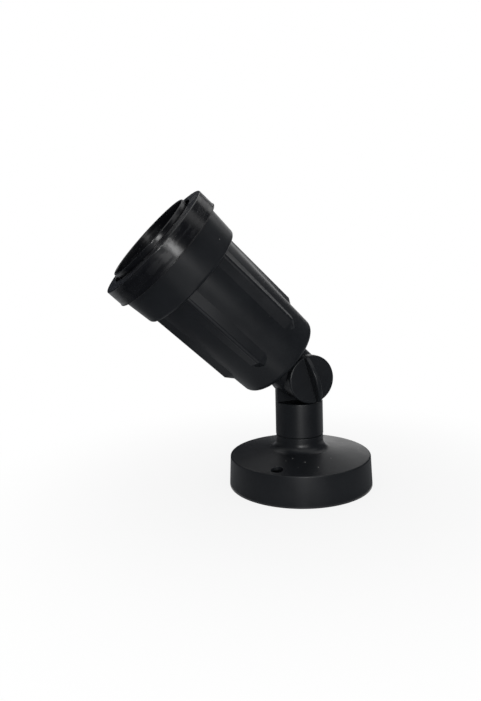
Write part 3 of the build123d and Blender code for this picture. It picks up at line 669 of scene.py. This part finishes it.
class SPOTLIGHT_OT_stage(bpy.types.Operator):
    """Sets up the floor, the felt flats, the studio lamps, the surroundings and the camera"""

    bl_idname = "spotlight.stage"
    bl_label = "Stage"

    # Studio in metres: the floor's and the walls' radius, the mats' height, and the
    # radius just outside the base's rim where the near mats start
    FLOOR_R = 4.0
    WALL_R = 1.3
    MAT_Z = 0.001
    RIM_R = 0.0502
    ARC_STEPS = 64

    FELTS = {"dark": "44474d", "mid": "6c6e72", "soft": "a0a2a5", "pale": "c6c8cb"}
    # Felt, start and sweep in degrees from the X axis, bottom and top
    WALLS = (
        ("left_wall", "dark", 66, 274, 0.0, 1.0),
        ("right_wall", "mid", 340, 40, 0.0, 1.6),
        ("far_wall", "mid", 20, 25, 0.0, 0.85),
        ("gap_header", "mid", 45, 21, 0.68, 1.3),
    )
    # Felt, start and sweep in degrees from the X axis, inner and outer radius
    MATS = (
        ("near_left_mat", "pale", 165, 70, RIM_R, 0.11),
        ("near_right_mat", "soft", 262, 146, RIM_R, 0.13),
        ("near_back_mat", "pale", 66, 99, RIM_R, 0.13),
        ("back_mat", "pale", 66, 34, 0.13, WALL_R),
        ("back_left_mat", "mid", 100, 65, 0.13, 0.26),
        ("far_left_mat", "pale", 100, 65, 0.26, WALL_R),
        # Mid grey mat under the head, seen only in reflections: a painted shadow of the head on the floor
        ("head_shadow_mat", "mid", 165, 70, 0.11, 0.2),
        ("left_mat", "dark", 165, 70, 0.2, WALL_R),
        ("near_front_mat", "soft", 235, 27, RIM_R, 0.11),
        ("front_mat", "mid", 235, 27, 0.25, WALL_R),
        ("right_mat", "dark", 262, 78, 0.13, WALL_R),
        ("far_mat", "pale", 340, 68, 0.13, WALL_R),
    )
    # Place and diameter in metres, power in watts
    LAMPS = (
        ("window_softbox", (0.015, -0.88, 0.135), 0.2, 0.95),
        ("camera_softbox", (-0.31, -0.83, 0.13), 0.09, 2.7),
    )
    AIM = Vector((-0.03, 0.0, 0.1))

    def execute(self, context):
        scene = context.scene
        scene.view_settings.view_transform = "Standard"
        self.surroundings(scene)
        self.floor(scene)
        self.flats(scene)
        self.lamps(scene)
        self.camera(scene)
        return {"FINISHED"}

    def shown_rays(self, tree):
        """1 for the rays that see the surroundings: camera, glossy and transmission rays."""
        rays = add_node(tree, "ShaderNodeLightPath").outputs
        seen = maths(tree, "MAXIMUM", rays["Is Camera Ray"], rays["Is Glossy Ray"])
        return maths(tree, "MAXIMUM", seen, rays["Is Transmission Ray"])

    def surroundings(self, scene):
        """Soft white light from all round, pure white where it is seen."""
        world = bpy.data.worlds.new("white_surroundings")
        world.use_nodes = True
        tree = world.node_tree
        tree.nodes.clear()
        light, seen = [
            add_node(tree, "ShaderNodeBackground", inputs={"Color": WHITE, "Strength": strength})
            for strength in (0.6, 1.0)]
        mixed = add_node(
            tree, "ShaderNodeMixShader",
            {"Fac": self.shown_rays(tree), 1: light.outputs["Background"],
             2: seen.outputs["Background"]})
        add_node(tree, "ShaderNodeOutputWorld", {"Surface": mixed.outputs["Shader"]})
        scene.world = world

    def floor(self, scene):
        """White paper floor that keeps the shadow near the light and runs out to white."""
        shape = bmesh.new()
        bmesh.ops.create_circle(
            shape, cap_ends=True, segments=self.ARC_STEPS, radius=self.FLOOR_R)
        material, tree, where = new_material("matt_white_paper")
        away = add_node(tree, "ShaderNodeVectorMath", {0: where}, operation="LENGTH")
        clear = add_node(
            tree, "ShaderNodeMapRange", {"Value": away.outputs["Value"]},
            {"From Min": 0.06, "From Max": 0.26, "To Min": 0.85, "To Max": 1.0},
            interpolation_type="SMOOTHSTEP")
        share = maths(tree, "MULTIPLY", self.shown_rays(tree), clear.outputs["Result"])
        paper = add_node(
            tree, "ShaderNodeBsdfDiffuse", inputs={"Color": (0.85, 0.85, 0.85, 1)})
        white = add_node(
            tree, "ShaderNodeEmission", inputs={"Color": WHITE, "Strength": 1.0})
        surface(
            tree, "ShaderNodeMixShader",
            {"Fac": share, 1: paper.outputs["BSDF"], 2: white.outputs["Emission"]})
        self.add_stage(scene, "studio_floor", shape, material)

    def add_stage(self, scene, name, shape, material):
        """Makes a shape a piece of the studio."""
        mesh = bpy.data.meshes.new(name)
        shape.to_mesh(mesh)
        shape.free()
        mesh.materials.append(material)
        piece = bpy.data.objects.new(name, mesh)
        scene.collection.objects.link(piece)
        return piece

    def flats(self, scene):
        """Felt walls and mats that the mouldings mirror.

        A low gap in the wall behind the light and a strip of floor before it stay white.
        """
        felts = {
            tone: self.felt(f"{tone}_grey_felt", linear(code))
            for tone, code in self.FELTS.items()}
        for name, tone, start, sweep, bottom, top in self.WALLS:
            outline = ((self.WALL_R, bottom), (self.WALL_R, top))
            self.flat(scene, name, felts[tone], start, sweep, outline)
        for name, tone, start, sweep, inner, outer in self.MATS:
            outline = ((inner, self.MAT_Z), (outer, self.MAT_Z))
            self.flat(scene, name, felts[tone], start, sweep, outline)

    def flat(self, scene, name, felt, start, sweep, outline):
        """Sweeps a line round the light to a flat that only shows in reflections."""
        shape = bmesh.new()
        turn = Matrix.Rotation(math.radians(start), 4, "Z")
        shape.edges.new([
            shape.verts.new(turn @ Vector((out, 0, height))) for out, height in outline])
        revolve(shape, self.ARC_STEPS, math.radians(sweep))
        flat = self.add_stage(scene, name, shape, felt)
        flat.visible_camera = flat.visible_diffuse = False
        flat.visible_transmission = flat.visible_shadow = False

    def felt(self, name, colour):
        """Pressed wool felt: dead matt, with the fibres' fine mottling."""
        material, tree, where = new_material(name)
        fibres = noise(tree, where, 6.0, detail=4.0)
        surface(
            tree, "ShaderNodeBsdfDiffuse", {"Color": mottled(tree, fibres, colour, 0.8, 1.2)})
        return material

    def lamps(self, scene):
        """Round softboxes on the camera's side, aimed at the middle of the light."""
        for name, place, size, power in self.LAMPS:
            data = bpy.data.lights.new(name, "AREA")
            data.shape = "DISK"
            data.size = size
            data.energy = power
            lamp = bpy.data.objects.new(name, data)
            lamp.location = place
            lamp.rotation_euler = (self.AIM - Vector(place)).to_track_quat("-Z", "Y").to_euler()
            lamp.visible_camera = False
            scene.collection.objects.link(lamp)

    def camera(self, scene):
        """The photograph's camera, squared up from its fitted directions."""
        data = bpy.data.cameras.new("photo_camera")
        data.sensor_width = CAMERA_SENSOR
        data.lens = CAMERA_LENS
        data.clip_start = 0.01
        camera = bpy.data.objects.new("photo_camera", data)
        right = CAMERA_RIGHT.normalized()
        back = right.cross(CAMERA_UP).normalized()
        up = back.cross(right)
        turn = Matrix((right, up, back)).transposed()
        camera.matrix_world = Matrix.Translation(CAMERA_PLACE) @ turn.to_4x4()
        scene.collection.objects.link(camera)
        scene.camera = camera


class SPOTLIGHT_PT_panel(bpy.types.Panel):
    """Lists the light's pieces and its stage"""

    bl_idname = "SPOTLIGHT_PT_panel"
    bl_label = "Landscape spotlight"
    bl_space_type = "VIEW_3D"
    bl_region_type = "UI"
    bl_category = "Spotlight"

    def draw(self, context):
        for step in STEPS:
            self.layout.operator(step.bl_idname)


STEPS = (
    SPOTLIGHT_OT_base, SPOTLIGHT_OT_stem, SPOTLIGHT_OT_knob, SPOTLIGHT_OT_head,
    SPOTLIGHT_OT_lamp, SPOTLIGHT_OT_holder, SPOTLIGHT_OT_stage)
CLASSES = (SpotlightLooks, SpotlightSizes, *STEPS, SPOTLIGHT_PT_panel)


def register():
    for made in CLASSES:
        bpy.utils.register_class(made)
    bpy.types.Scene.spotlight_looks = PointerProperty(type=SpotlightLooks)
    bpy.types.Scene.spotlight_sizes = PointerProperty(type=SpotlightSizes)


def unregister():
    del bpy.types.Scene.spotlight_sizes
    del bpy.types.Scene.spotlight_looks
    for made in reversed(CLASSES):
        bpy.utils.unregister_class(made)


def main():
    register()
    bpy.ops.spotlight.base()
    bpy.ops.spotlight.stem()
    bpy.ops.spotlight.knob()
    bpy.ops.spotlight.head()
    bpy.ops.spotlight.lamp()
    bpy.ops.spotlight.holder()
    bpy.ops.spotlight.stage()


if __name__ == "__main__":
    main()
